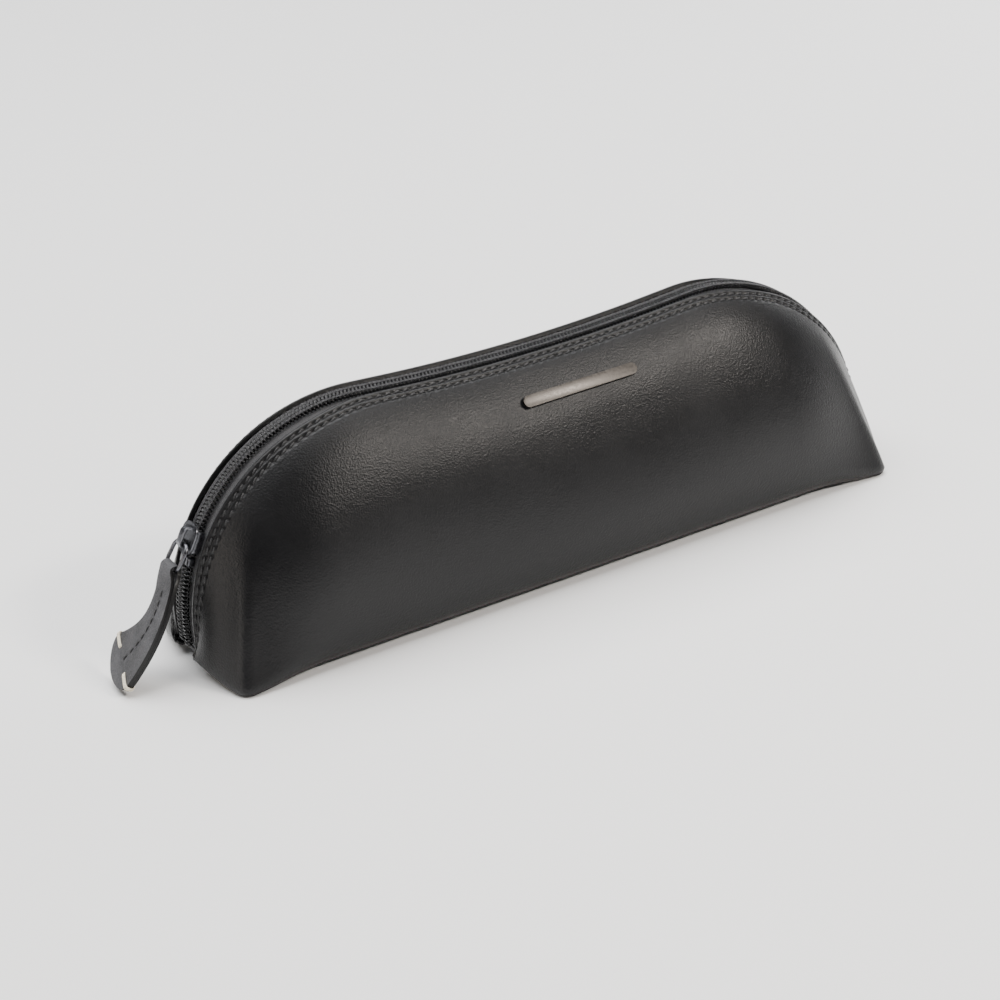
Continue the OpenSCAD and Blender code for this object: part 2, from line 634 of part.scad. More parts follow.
tab_stitches = 8;
tab_stitch_l = 2.2;
seam_from = 0.22;                             // shares of the tab where its seam starts and ends
seam_to = 0.96;
module tab_stitching() {
    color("#101012") at_tab() for (i = [0 : tab_stitches - 1]) {
        q = mix(seam_from, seam_to, i / (tab_stitches - 1));
        p = tab_mid(q);
        h = thread_d * stitch_flat;
        for (z = [tab_t + touch, -tab_t - touch - h]) translate([p[0], p[1], z])
            rotate([0, 0, 90 - tab_turn(q)]) translate([-tab_stitch_l / 2, -thread_d / 2, 0])
                cube([tab_stitch_l, thread_d, h]);
    }
}

// Pale bars of thread that wrap the tab's edges at the seam across its end
bar_w = 1.2;
bar_t = 0.5;
bar_l = 5.4;
module tab_bar_stitches() {
    color("#e9e2cf") at_tab() for (k = [-1, 1]) {
        p = tab_side(1, k * (tab_end_half - bar_l / 2));
        for (z = [tab_t + touch, -tab_t - touch - bar_t]) translate([p[0], p[1], z])
            rotate([0, 0, tab_end_turn]) translate([-bar_l / 2, -bar_w / 2, 0])
                cube([bar_l, bar_w, bar_t]);
    }
}

base_panel();
base_board();
base_lining();
end_binding_left();
end_binding_right();
bottom_stop();
front_panel();
front_lining();
front_tape();
front_coil();
front_top_stop();
front_stitching();
badge_bar();
badge_backing();
back_panel();
back_lining();
back_tape();
back_coil();
back_top_stop();
back_stitching();
slider_body();
pull_link();
pull_tab();
tab_stitching();
tab_bar_stitches();
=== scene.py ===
"""Zipped leather pen case: its looks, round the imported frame. Metres, +X along the case, front at -Y."""
import json
import math

import bpy
import numpy as np
from mathutils import Matrix, Vector


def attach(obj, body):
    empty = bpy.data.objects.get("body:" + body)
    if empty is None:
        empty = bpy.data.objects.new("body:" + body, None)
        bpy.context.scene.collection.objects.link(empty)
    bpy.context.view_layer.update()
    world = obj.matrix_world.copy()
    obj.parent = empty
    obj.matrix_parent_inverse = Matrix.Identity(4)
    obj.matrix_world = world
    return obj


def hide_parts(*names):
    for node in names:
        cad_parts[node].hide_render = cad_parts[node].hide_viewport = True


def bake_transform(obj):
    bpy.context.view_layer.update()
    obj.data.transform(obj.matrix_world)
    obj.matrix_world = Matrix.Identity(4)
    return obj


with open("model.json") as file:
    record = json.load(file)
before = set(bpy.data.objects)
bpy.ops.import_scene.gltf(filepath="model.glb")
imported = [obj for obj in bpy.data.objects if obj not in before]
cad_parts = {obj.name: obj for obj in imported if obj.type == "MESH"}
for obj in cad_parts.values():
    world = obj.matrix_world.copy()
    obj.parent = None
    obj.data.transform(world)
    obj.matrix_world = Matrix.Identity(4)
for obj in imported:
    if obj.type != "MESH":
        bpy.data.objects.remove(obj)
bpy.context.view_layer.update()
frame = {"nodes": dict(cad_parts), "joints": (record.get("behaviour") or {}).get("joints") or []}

MM = 0.001

# ---- Sizes of the case, and places that the frame's joints give ----

JOINTS = {joint["name"]: joint for joint in frame["joints"]}


def joint_place(name):
    return Vector(JOINTS[name]["pos_m"])


CASE_L = 225 * MM
END_OUT = 5.5 * MM
END_LIFT = 2.8 * MM
FOLD_R = 8 * MM
CORNER_FOLD_R = 3.2 * MM
END_FOLD_R = CORNER_FOLD_R - 0.3 * MM
CREASE_RUN = 45 * MM
TOP_SLOPE = math.radians(5.3)
MOUTH_MID = 5.1 * MM
MOUTH_END = 6.3 * MM
ROLL_OFF = math.radians(30)
LEATHER_T = 1.3 * MM
LAYER_GAP = 0.6 * MM
LINING_T = 0.6 * MM
TAPE_T = 0.4 * MM
COIL_T = 2.1 * MM
ZIP_SUNK = 1.2 * MM
HALF_W = -joint_place("front_wall_open").y

SHOULDER_X = -joint_place("slider_travel").x
SHOULDER_Z = joint_place("slider_travel").z
ZIP_X = CASE_L / 2 + END_OUT - ZIP_SUNK
SHOULDER_R = ZIP_X - SHOULDER_X
HOLLOW_X = SHOULDER_X - SHOULDER_R * math.sin(TOP_SLOPE)
HOLLOW_R = HOLLOW_X / math.sin(TOP_SLOPE)
HOLLOW_Z = SHOULDER_Z + SHOULDER_R * math.cos(TOP_SLOPE) - HOLLOW_R * (1 - math.cos(TOP_SLOPE))
HOLLOW_RUN = HOLLOW_R * TOP_SLOPE
SHOULDER_RUN = SHOULDER_R * (math.pi / 2 + TOP_SLOPE)
END_Z = END_LIFT + END_FOLD_R + 0.6 * MM
HALF_RUN = HOLLOW_RUN + SHOULDER_RUN + SHOULDER_Z - END_Z
CREASE_S = HALF_RUN - CREASE_RUN
# The leather is drawn to a tighter corner than the lining and board inside it
CORNER_FRONT, CORNER_END = 5 * MM, 8 * MM
TIGHT_FRONT, TIGHT_END, TIGHT_FOLD_R = 3.6 * MM, 5.4 * MM, 1.7 * MM

SLOW_TURN = 11 * MM
END_CURL = 1.6
CORNER_BLEND = 26 * MM
LIFT_START = 2 * MM
SHOULDER_BEFORE, SHOULDER_AFTER = 8 * MM, 22 * MM
EDGE_MID_OUT, EDGE_END_OUT = -0.1 * MM, -1.1 * MM
EDGE_PULL, FOOT_PULL = 0.29, 0.33
CORNER_LEAN, FOOT_LEAN, LEAN_RUN = -0.12, 0.035, 32 * MM
# Walls shorter than this have their rows drawn closer together
FULL_WALL = 15 * MM

STITCH_PITCH = 2.9 * MM
STITCH_IN = 1.8 * MM
STITCH_ROWS = 1.9 * MM
COIL_PITCH = 1.2 * MM


# ---- The zip line and the walls that hang from it ----

def mix(a, b, t):
    return a + (b - a) * t


def ease(a, b, x):
    t = min(1.0, max(0.0, (x - a) / (b - a)))
    return t * t * (3 - 2 * t)


def zip_line(s):
    """Point of the zip line at run s from the middle of the top, its outward normal and its direction."""
    run, side = abs(s), math.copysign(1, s)
    if run <= HOLLOW_RUN:
        a = run / HOLLOW_R
        x, z = HOLLOW_R * math.sin(a), HOLLOW_Z + HOLLOW_R * (1 - math.cos(a))
        out = (-math.sin(a), math.cos(a))
    elif run <= HOLLOW_RUN + SHOULDER_RUN:
        a = math.pi / 2 + TOP_SLOPE - (run - HOLLOW_RUN) / SHOULDER_R
        x, z = SHOULDER_X + SHOULDER_R * math.cos(a), SHOULDER_Z + SHOULDER_R * math.sin(a)
        out = (math.cos(a), math.sin(a))
    else:
        x, z = ZIP_X, END_Z + HALF_RUN - run
        out = (1, 0)
    normal = Vector((side * out[0], 0, out[1]))
    along = Vector((normal.z, 0, -normal.x))
    return Vector((side * x, 0, z)), normal, along


def beside(s, y, out):
    """Point beside the zip line: y across the case, out away from it."""
    point, normal, _ = zip_line(s)
    return point + normal * out + Vector((0, y, 0))


def on_shoulder(s):
    return ease(HOLLOW_RUN - SHOULDER_BEFORE, HOLLOW_RUN + SHOULDER_AFTER, abs(s))


def mouth(s):
    return mix(MOUTH_MID, MOUTH_END, on_shoulder(s))


def foot_raw(s):
    run, side = abs(s), math.copysign(1, s)
    if run <= CREASE_S:
        return Vector((s / CREASE_S * CASE_L / 2, -HALF_W))
    w = (run - CREASE_S) / (HALF_RUN - CREASE_S)
    x = CASE_L / 2 + END_OUT * (1 - max(0, 1 - w) ** END_CURL)
    return Vector((side * x, mix(-HALF_W, -MOUTH_END, w)))


def foot(s, tight=False):
    """Outline of the foot's front half, its corners rounded."""
    run, side = abs(s), math.copysign(1, s)
    before, after = (TIGHT_FRONT, TIGHT_END) if tight else (CORNER_FRONT, CORNER_END)
    t = (run - CREASE_S + before) / (before + after)
    if t <= 0 or t >= 1:
        return foot_raw(s)
    a, b, c = (foot_raw(side * r) for r in (CREASE_S - before, CREASE_S, CREASE_S + after))
    return a * (1 - t) ** 2 + b * 2 * t * (1 - t) + c * t * t


def foot_normal(s, tight=False, step=0.4 * MM):
    d = foot(min(s + step, HALF_RUN), tight) - foot(max(s - step, -HALF_RUN), tight)
    return Vector((d.y, -d.x)).normalized()


def foot_fold(s, tight=False):
    run, corner = abs(s), TIGHT_FOLD_R if tight else CORNER_FOLD_R
    if run < CREASE_S:
        return mix(corner, FOLD_R, ease(0, CORNER_BLEND, CREASE_S - run))
    return mix(corner, END_FOLD_R, ease(CREASE_S, HALF_RUN, run))


class Section:
    """One cut down the front wall: from the leather edge, down its face and round the foot's fold."""

    def __init__(self, s, tight=False):
        o, n = foot(s, tight), foot_normal(s, tight)
        r, lift = foot_fold(s, tight), END_LIFT * ease(CREASE_S + LIFT_START, HALF_RUN, abs(s))
        _, out, _ = zip_line(s)
        top = beside(s, -mouth(s), ZIP_SUNK + mix(EDGE_MID_OUT, EDGE_END_OUT, on_shoulder(s)))
        low = Vector((o.x, o.y, lift + r))
        reach = (top - low).length
        lead = -math.sin(ROLL_OFF) * out + Vector((0, -math.cos(ROLL_OFF), 0))
        lean = mix(CORNER_LEAN, FOOT_LEAN, ease(0, LEAN_RUN, abs(abs(s) - CREASE_S)))
        c1 = top + lead * reach * EDGE_PULL
        # The face leans by a slower turn than the corner's, so that it doesn't fold over itself there
        slow = foot_normal(s, step=SLOW_TURN) if tight else n
        c2 = low + Vector((slow.x * lean, slow.y * lean, FOOT_PULL)) * reach
        t = np.linspace(0, 1, 40)[:, None]
        v = 1 - t
        face = np.array(top) * v**3 + np.array(c1) * 3 * v * v * t
        face = face + np.array(c2) * 3 * v * t * t + np.array(low) * t**3
        a = np.linspace(0, math.pi / 2, 14)[1:, None]
        sideways, down = np.array((n.x, n.y, 0)), np.array((0, 0, 1))
        fold = np.array(low) - sideways * r * (1 - np.cos(a)) - down * r * np.sin(a)
        flat = fold[-1] - sideways * (foot_fold(s) - r) * np.linspace(0, 1, 3)[1:, None]
        self.points = np.concatenate([face, fold, flat])
        steps = np.linalg.norm(np.diff(self.points, axis=0), axis=1)
        self.lengths = np.concatenate([[0], np.cumsum(steps)])
        self.total = self.lengths[-1]

    def at(self, distances):
        return np.stack([np.interp(distances, self.lengths, self.points[:, k]) for k in range(3)], axis=1)


def wall_grid(runs, distances):
    """Points of the front wall's outer face; distances(section) gives the rows, down from the edge."""
    return np.array([(lambda cut: cut.at(distances(cut)))(Section(s)) for s in runs])


def grid_normals(grid):
    """Outward normals of a grid of points that runs along +X and then down the wall."""
    along, down = np.gradient(grid, axis=0), np.gradient(grid, axis=1)
    normals = -np.cross(along, down)
    return normals / np.linalg.norm(normals, axis=2, keepdims=True)


# ---- Making and finishing pieces ----

def deselect():
    bpy.ops.object.select_all(action="DESELECT")


def take(obj):
    deselect()
    obj.select_set(True)
    bpy.context.view_layer.objects.active = obj
    return obj


def settle(obj):
    """Puts a finished piece's object at the origin, with its place in its mesh."""
    take(obj)
    bpy.ops.object.transform_apply(location=True, rotation=True, scale=True)
    return obj


def modify(obj, kind, **settings):
    modifier = obj.modifiers.new(kind.title(), kind)
    for key, value in settings.items():
        setattr(modifier, key, value)
    take(obj)
    bpy.ops.object.modifier_apply(modifier=modifier.name)
    return obj


def smooth(obj, degrees=None):
    take(obj)
    if degrees is None:
        bpy.ops.object.shade_smooth()
    else:
        bpy.ops.object.shade_smooth_by_angle(angle=math.radians(degrees))
    return obj


def dress(obj, *materials):
    obj.data.materials.clear()
    for material in materials:
        obj.data.materials.append(material)
    return obj


def lofted(name, grid):
    """A grid primitive laid over a grid of points [column][row]; it faces along column x (minus row)."""
    columns, rows = grid.shape[:2]
    deselect()
    bpy.ops.mesh.primitive_grid_add(x_subdivisions=columns - 1, y_subdivisions=rows - 1, size=2)
    obj = bpy.context.object
    obj.name = name
    flat = np.zeros(len(obj.data.vertices) * 3)
    obj.data.vertices.foreach_get("co", flat)
    flat = flat.reshape(-1, 3)
    column = np.rint((flat[:, 0] + 1) / 2 * (columns - 1)).astype(int)
    row = np.rint((1 - flat[:, 1]) / 2 * (rows - 1)).astype(int)
    obj.data.vertices.foreach_set("co", grid[column, row].ravel())
    obj.data.update()
    return obj


def mirrored(grid):
    """The same sheet on the back of the case; its columns are reversed so that it still faces outwards."""
    return grid[::-1] * np.array((1, -1, 1))


def tube(name, path, radius, sides=2, closed=False):
    """A round strand along a list of points."""
    curve = bpy.data.curves.new(name, "CURVE")
    curve.dimensions = "3D"
    curve.bevel_depth = radius
    curve.bevel_resolution = sides
    curve.use_fill_caps = not closed
    spline = curve.splines.new("POLY")
    spline.points.add(len(path) - 1)
    spline.points.foreach_set("co", np.c_[np.array(path), np.ones(len(path))].ravel())
    spline.use_cyclic_u = closed
    obj = bpy.data.objects.new(name, curve)
    bpy.context.scene.collection.objects.link(obj)
    take(obj)
    bpy.ops.object.convert(target="MESH")
    return smooth(bpy.context.object)


def join(name, parts):
    deselect()
    for part in parts:
        part.select_set(True)
    bpy.context.view_layer.objects.active = parts[0]
    bpy.ops.object.join()
    parts[0].name = name
    return parts[0]


def repeated(name, model, places):
    """One mesh that holds a copy of the model at each place, a list of matrices. The model is used up."""
    mesh = model.data
    points = np.zeros(len(mesh.vertices) * 3)
    mesh.vertices.foreach_get("co", points)
    points = np.c_[points.reshape(-1, 3), np.ones(len(mesh.vertices))]
    faces = [list(p.vertices) for p in mesh.polygons]
    all_points = np.concatenate([(points @ np.array(m).T)[:, :3] for m in places])
    all_faces = [[v + k * len(points) for v in face] for k in range(len(places)) for face in faces]
    made = bpy.data.meshes.new(name)
    made.from_pydata(all_points.tolist(), [], all_faces)
    obj = bpy.data.objects.new(name, made)
    bpy.context.scene.collection.objects.link(obj)
    bpy.data.objects.remove(model)
    return smooth(obj)


def frame_matrix(x, z, place):
    """Matrix whose columns are x, z cross x and z, at a place."""
    y = z.cross(x)
    return Matrix(((x.x, y.x, z.x, place.x), (x.y, y.y, z.y, place.y), (x.z, y.z, z.z, place.z),
                   (0, 0, 0, 1)))


# ---- Materials ----

def colour(code):
    """An sRGB hex colour as linear values."""
    values = [int(code[i:i + 2], 16) / 255 for i in (1, 3, 5)]
    return tuple([v / 12.92 if v <= 0.04045 else ((v + 0.055) / 1.055) ** 2.4 for v in values] + [1])


def add(tree, kind, inputs=None, stops=(), **settings):
    """Adds a node with its settings and colour stops; an input that is a socket is linked."""
    node = tree.nodes.new(kind)
    for k, (position, tint) in enumerate(stops):
        node.color_ramp.elements[k].color, node.color_ramp.elements[k].position = tint, position
    for key, value in settings.items():
        setattr(node, key, value)
    for key, value in (inputs or {}).items():
        if isinstance(value, bpy.types.NodeSocket):
            tree.links.new(value, node.inputs[key])
        else:
            node.inputs[key].default_value = value
    return node


def material(name):
    made = bpy.data.materials.new(name)
    made.use_nodes = True
    made.node_tree.nodes.clear()
    return made, made.node_tree


def finish(tree, inputs):
    shader = add(tree, "ShaderNodeBsdfPrincipled", inputs)
    add(tree, "ShaderNodeOutputMaterial", {"Surface": shader.outputs["BSDF"]})


def grey(value):
    return (value, value, value, 1)


def case_leather():
    """Smooth chrome-tanned cowhide, drum dyed black and lightly waxed: a soft sheen over a fine grain."""
    made, tree = material("smooth_black_cowhide")
    place = add(tree, "ShaderNodeTexCoord").outputs["Object"]
    drift = add(tree, "ShaderNodeTexNoise", {"Vector": place, "Scale": 500, "Detail": 2}).outputs["Color"]
    warped = add(tree, "ShaderNodeVectorMath", {0: place, 1: (0.0004, 0.0004, 0.0004)}, operation="ADD")
    shift = add(tree, "ShaderNodeVectorMath", {0: drift, 1: (0.0004, 0.0004, 0.0004)}, operation="MULTIPLY")
    tree.links.new(shift.outputs["Vector"], warped.inputs[1])
    # Grain cells of about 0.5 mm, with pores of 0.2 mm between them
    cells = add(tree, "ShaderNodeTexVoronoi",
                {"Vector": warped.outputs["Vector"], "Scale": 1900, "Smoothness": 0.5},
                feature="SMOOTH_F1").outputs["Distance"]
    pores = add(tree, "ShaderNodeTexNoise",
                {"Vector": place, "Scale": 5200, "Detail": 3, "Roughness": 0.6}).outputs["Fac"]
    # Worn and waxed patches, about 26 mm across
    clouds = add(tree, "ShaderNodeTexNoise",
                 {"Vector": place, "Scale": 38, "Detail": 4, "Roughness": 0.62}).outputs["Fac"]
    height = add(tree, "ShaderNodeMath", {0: cells, 1: 0.75}, operation="MULTIPLY").outputs[0]
    height = add(tree, "ShaderNodeMath", {0: pores, 1: 0.5, 2: height}, operation="MULTIPLY_ADD").outputs[0]
    bump = add(tree, "ShaderNodeBump",
               {"Height": height, "Strength": 0.9, "Distance": 0.00012}).outputs["Normal"]
    base = add(tree, "ShaderNodeValToRGB", {"Fac": clouds},
                stops=((0.3, colour("#08080a")), (0.72, colour("#0f0f11")))).outputs["Color"]
    gloss = add(tree, "ShaderNodeValToRGB", {"Fac": clouds},
                 stops=((0.32, grey(0.3)), (0.7, grey(0.39)))).outputs["Color"]
    finish(tree, {"Base Color": base, "Roughness": gloss, "Normal": bump, "Specular IOR Level": 0.32})
    return made


def tab_leather():
    """Vegetable-tanned leather, dyed dark grey and dry: a matt face with open pores and paler high spots."""
    made, tree = material("waxed_grey_tab_leather")
    place = add(tree, "ShaderNodeTexCoord").outputs["Object"]
    # Pebbles of 0.7 mm, pores of 0.4 mm and darker patches of 6 mm
    cells = add(tree, "ShaderNodeTexVoronoi", {"Vector": place, "Scale": 1500},
                feature="F1").outputs["Distance"]
    pores = add(tree, "ShaderNodeTexNoise",
                {"Vector": place, "Scale": 2600, "Detail": 4, "Roughness": 0.7}).outputs["Fac"]
    clouds = add(tree, "ShaderNodeTexNoise", {"Vector": place, "Scale": 160, "Detail": 3}).outputs["Fac"]
    height = add(tree, "ShaderNodeMath", {0: cells, 1: 0.6, 2: pores}, operation="MULTIPLY_ADD").outputs[0]
    bump = add(tree, "ShaderNodeBump",
               {"Height": height, "Strength": 0.9, "Distance": 0.0003}).outputs["Normal"]
    tone = add(tree, "ShaderNodeMath", {0: pores, 1: 0.55}, operation="MULTIPLY").outputs[0]
    tone = add(tree, "ShaderNodeMath", {0: clouds, 1: 0.45, 2: tone}, operation="MULTIPLY_ADD").outputs[0]
    base = add(tree, "ShaderNodeValToRGB", {"Fac": tone},
                stops=((0.34, colour("#2f2f31")), (0.66, colour("#59595c")))).outputs["Color"]
    finish(tree, {"Base Color": base, "Roughness": 0.62, "Normal": bump, "Specular IOR Level": 0.4})
    return made


def edge_paint():
    """Acrylic edge paint, rubbed smooth over the cut leather: near black with a low gloss."""
    made, tree = material("black_edge_paint")
    place = add(tree, "ShaderNodeTexCoord").outputs["Object"]
    ripple = add(tree, "ShaderNodeTexNoise", {"Vector": place, "Scale": 900, "Detail": 3}).outputs["Fac"]
    bump = add(tree, "ShaderNodeBump",
               {"Height": ripple, "Strength": 0.3, "Distance": 0.0001}).outputs["Normal"]
    base = add(tree, "ShaderNodeValToRGB", {"Fac": ripple},
                stops=((0.35, colour("#070708")), (0.65, colour("#0e0e0f")))).outputs["Color"]
    finish(tree, {"Base Color": base, "Roughness": 0.42, "Normal": bump, "Specular IOR Level": 0.3})
    return made


def woven(name, low, high, across, along, rough):
    """A plain weave on the piece's own UV map, which runs 0 to 1 over its real size, across by along."""
    made, tree = material(name)
    uv = add(tree, "ShaderNodeUVMap").outputs["UV"]
    spots = add(tree, "ShaderNodeMapping", {"Vector": uv, "Scale": (along, across, 1)}).outputs["Vector"]
    warp = add(tree, "ShaderNodeTexWave", {"Vector": spots, "Scale": 0.5, "Distortion": 0.6, "Detail": 1},
               bands_direction="X").outputs["Fac"]
    weft = add(tree, "ShaderNodeTexWave", {"Vector": spots, "Scale": 0.5, "Distortion": 0.6, "Detail": 1},
               bands_direction="Y").outputs["Fac"]
    fuzz = add(tree, "ShaderNodeTexNoise", {"Vector": spots, "Scale": 1.7, "Detail": 3}).outputs["Fac"]
    height = add(tree, "ShaderNodeMath", {0: warp, 1: weft}, operation="MULTIPLY").outputs[0]
    height = add(tree, "ShaderNodeMath", {0: fuzz, 1: 0.5, 2: height}, operation="MULTIPLY_ADD").outputs[0]
    bump = add(tree, "ShaderNodeBump",
               {"Height": height, "Strength": 0.9, "Distance": 0.0002}).outputs["Normal"]
    base = add(tree, "ShaderNodeValToRGB", {"Fac": height},
                stops=((0.1, low), (1.0, high))).outputs["Color"]
    finish(tree, {"Base Color": base, "Roughness": rough, "Normal": bump,
                  "Sheen Weight": 0.25, "Sheen Roughness": 0.4})
    return made


def nylon():
    """Nylon monofilament, extruded and heat set: jet black and glossy, with a glint on each turn."""
    made, tree = material("black_nylon_monofilament")
    place = add(tree, "ShaderNodeTexCoord").outputs["Object"]
    drift = add(tree, "ShaderNodeTexNoise", {"Vector": place, "Scale": 700, "Detail": 2}).outputs["Fac"]
    base = add(tree, "ShaderNodeValToRGB", {"Fac": drift},
                stops=((0.0, colour("#0c0c0d")), (1.0, colour("#1b1b1d")))).outputs["Color"]
    gloss = add(tree, "ShaderNodeValToRGB", {"Fac": drift},
                 stops=((0.0, grey(0.14)), (1.0, grey(0.26)))).outputs["Color"]
    finish(tree, {"Base Color": base, "Roughness": gloss, "IOR": 1.55})
    return made


def thread(name, low, high, rough, sheen):
    """Bonded polyester sewing thread: twisted plies, drawn at 0.35 mm so that they show."""
    made, tree = material(name)
    place = add(tree, "ShaderNodeTexCoord").outputs["Object"]
    turned = add(tree, "ShaderNodeMapping",
                 {"Vector": place, "Rotation": (0.5, 0.6, 0.8), "Scale": (2800, 2800, 2800)})
    plies = add(tree, "ShaderNodeTexWave",
                {"Vector": turned.outputs["Vector"], "Scale": 0.3, "Distortion": 1.5},
                bands_direction="DIAGONAL").outputs["Fac"]
    bump = add(tree, "ShaderNodeBump",
               {"Height": plies, "Strength": 0.6, "Distance": 0.0001}).outputs["Normal"]
    base = add(tree, "ShaderNodeValToRGB", {"Fac": plies},
                stops=((0.0, low), (1.0, high))).outputs["Color"]
    finish(tree, {"Base Color": base, "Roughness": rough, "Normal": bump,
                  "Sheen Weight": sheen, "Sheen Roughness": 0.4})
    return made


def gunmetal(name, low, high, rough):
    """Die-cast zinc, barrel polished and plated black nickel: a dark mirror with soft tumbling marks."""
    made, tree = material(name)
    place = add(tree, "ShaderNodeTexCoord").outputs["Object"]
    # Tumbling marks of 0.7 mm
    marks = add(tree, "ShaderNodeTexNoise",
                {"Vector": place, "Scale": 1400, "Detail": 4, "Roughness": 0.65}).outputs["Fac"]
    bump = add(tree, "ShaderNodeBump",
               {"Height": marks, "Strength": 0.03, "Distance": 0.00003}).outputs["Normal"]
    base = add(tree, "ShaderNodeValToRGB", {"Fac": marks},
                stops=((0.3, low), (0.7, high))).outputs["Color"]
    gloss = add(tree, "ShaderNodeValToRGB", {"Fac": marks},
                 stops=((0.35, grey(rough)), (0.65, grey(rough + 0.12)))).outputs["Color"]
    finish(tree, {"Base Color": base, "Metallic": 1.0, "Roughness": gloss, "Normal": bump})
    return made


def fibre_board():
    """Pressed fibre board, dark brown and dull; only its edge could ever be seen."""
    made, tree = material("pressed_fibre_board")
    place = add(tree, "ShaderNodeTexCoord").outputs["Object"]
    fibres = add(tree, "ShaderNodeTexNoise", {"Vector": place, "Scale": 900, "Detail": 5}).outputs["Fac"]
    bump = add(tree, "ShaderNodeBump",
               {"Height": fibres, "Strength": 0.5, "Distance": 0.0002}).outputs["Normal"]
    base = add(tree, "ShaderNodeValToRGB", {"Fac": fibres},
                stops=((0.0, colour("#4a3b2b")), (1.0, colour("#77614a")))).outputs["Color"]
    finish(tree, {"Base Color": base, "Roughness": 0.85, "Normal": bump})
    return made


LEATHER = case_leather()
TAB_LEATHER = tab_leather()
EDGE_PAINT = edge_paint()
# The tape is woven at 0.45 mm a thread, the lining at 0.4 mm
TAPE = woven("black_polyester_zip_tape", colour("#18181a"), colour("#4a4a4f"), 14 / 0.45, 316 / 0.45, 0.75)
LINING = woven("charcoal_twill_lining", colour("#1c1c1f"), colour("#3c3c41"), 80 / 0.4, 300 / 0.4, 0.8)
NYLON = nylon()
BLACK_THREAD = thread("black_bonded_thread", colour("#0b0b0c"), colour("#232325"), 0.5, 0.15)
# The zip's sewing thread is black; its plies are painted up to mid grey as painted glints, standing in for
# the shine of light on it
ZIP_THREAD_PAINTED_GLINT = thread("black_zip_thread_painted_glints", colour("#1c1c1e"), colour("#58585c"), 0.4, 0.2)
PALE_THREAD = thread("waxed_linen_thread", colour("#d8cdb4"), colour("#f3ecdc"), 0.55, 0.1)
GUNMETAL = gunmetal("black_nickel_plating", colour("#5c5d61"), colour("#717277"), 0.26)
BADGE_METAL = gunmetal("satin_nickel", colour("#3c3a38"), colour("#504d4a"), 0.3)
BOARD = fibre_board()


# ---- Walls ----

def wall_rows(cut):
    """Rows down a wall: close together over the stitched edge, wider below."""
    near = np.concatenate([[0, 0.12, 0.26, 0.42, 0.6], np.arange(0.9, 6.6, 0.3)]) * MM
    near = near * min(1, cut.total / FULL_WALL)
    rest = np.linspace(near[-1], cut.total, 36)[1:]
    return np.concatenate([near, rest])


def middle_of(node):
    corners = [frame["nodes"][node].matrix_world @ Vector(c) for c in frame["nodes"][node].bound_box]
    return sum(corners, Vector()) / 8


BADGE = middle_of("badge_bar")


def soft_swells(grid):
    """Low swells of hand-made leather, under half a millimetre, fading out at the mouth and the fold."""
    x, z = grid[:, :, 0] / MM, grid[:, :, 2] / MM
    wave = np.sin(x / 17.3 + 0.6) * np.sin(z / 11.1 + x / 41.0) + 0.6 * np.sin(x / 29.0 - z / 9.3 + 1.9)
    fade = np.clip((z - 4) / 14, 0, 1) * np.clip((60 - z) / 14, 0, 1)
    # The leather lies flat under the badge and is pressed in a little round it
    under = np.exp(-(((x - BADGE.x / MM) / 23) ** 6) - ((z - BADGE.z / MM) / 5) ** 6)
    return (wave * fade * 0.28 * (1 - under) - 0.18 * under) * MM


WALL_COLUMNS = 681
EDGE_ROUND = 0.6


def leather_wall(name, back):
    runs = np.linspace(-HALF_RUN, HALF_RUN, WALL_COLUMNS)
    cuts = [Section(s, tight=True) for s in runs]
    distances = np.array([wall_rows(cut) for cut in cuts])
    grid = np.array([cut.at(d) for cut, d in zip(cuts, distances)])
    normals = grid_normals(grid)
    d = distances / MM
    round_off = EDGE_ROUND - np.sqrt(np.maximum(EDGE_ROUND**2 - (EDGE_ROUND - d) ** 2, 0))
    turned = np.where(d < EDGE_ROUND, round_off, 0)
    first, second = STITCH_IN / MM, (STITCH_IN + STITCH_ROWS) / MM
    # Each needle hole is a small pit between two stitches; the rows are half a stitch apart
    beat = np.cos(runs / STITCH_PITCH * 2 * math.pi)[:, None]
    trench = np.exp(-(((d - first) / 0.45) ** 2)) * (0.3 - 0.26 * beat)
    trench += np.exp(-(((d - second) / 0.45) ** 2)) * (0.3 + 0.26 * beat)
    # The leather stands up between the seam and its edge, and between the two rows
    plump = 0.22 * np.exp(-(((d - 0.9) / 0.45) ** 2))
    plump += 0.14 * np.exp(-(((d - (first + second) / 2) / 0.4) ** 2))
    lift = (plump - trench - 0.55 * turned) * MM + soft_swells(grid)
    grid = grid + normals * lift[:, :, None]
    wall = lofted(name, mirrored(grid) if back else grid)
    modify(wall, "SOLIDIFY", thickness=LEATHER_T, offset=-1, use_even_offset=False)
    return dress(smooth(wall), LEATHER)


def lining_wall(name, back):
    runs = np.linspace(4 * MM - HALF_RUN, HALF_RUN - 4 * MM, 161)
    grid = wall_grid(runs, lambda cut: np.linspace(2.6 * MM * min(1, cut.total / FULL_WALL), cut.total, 40))
    grid = grid - grid_normals(grid) * (LEATHER_T + LAYER_GAP)
    wall = lofted(name, mirrored(grid) if back else grid)
    modify(wall, "SOLIDIFY", thickness=LINING_T, offset=-1, use_even_offset=False)
    return dress(smooth(wall), LINING)


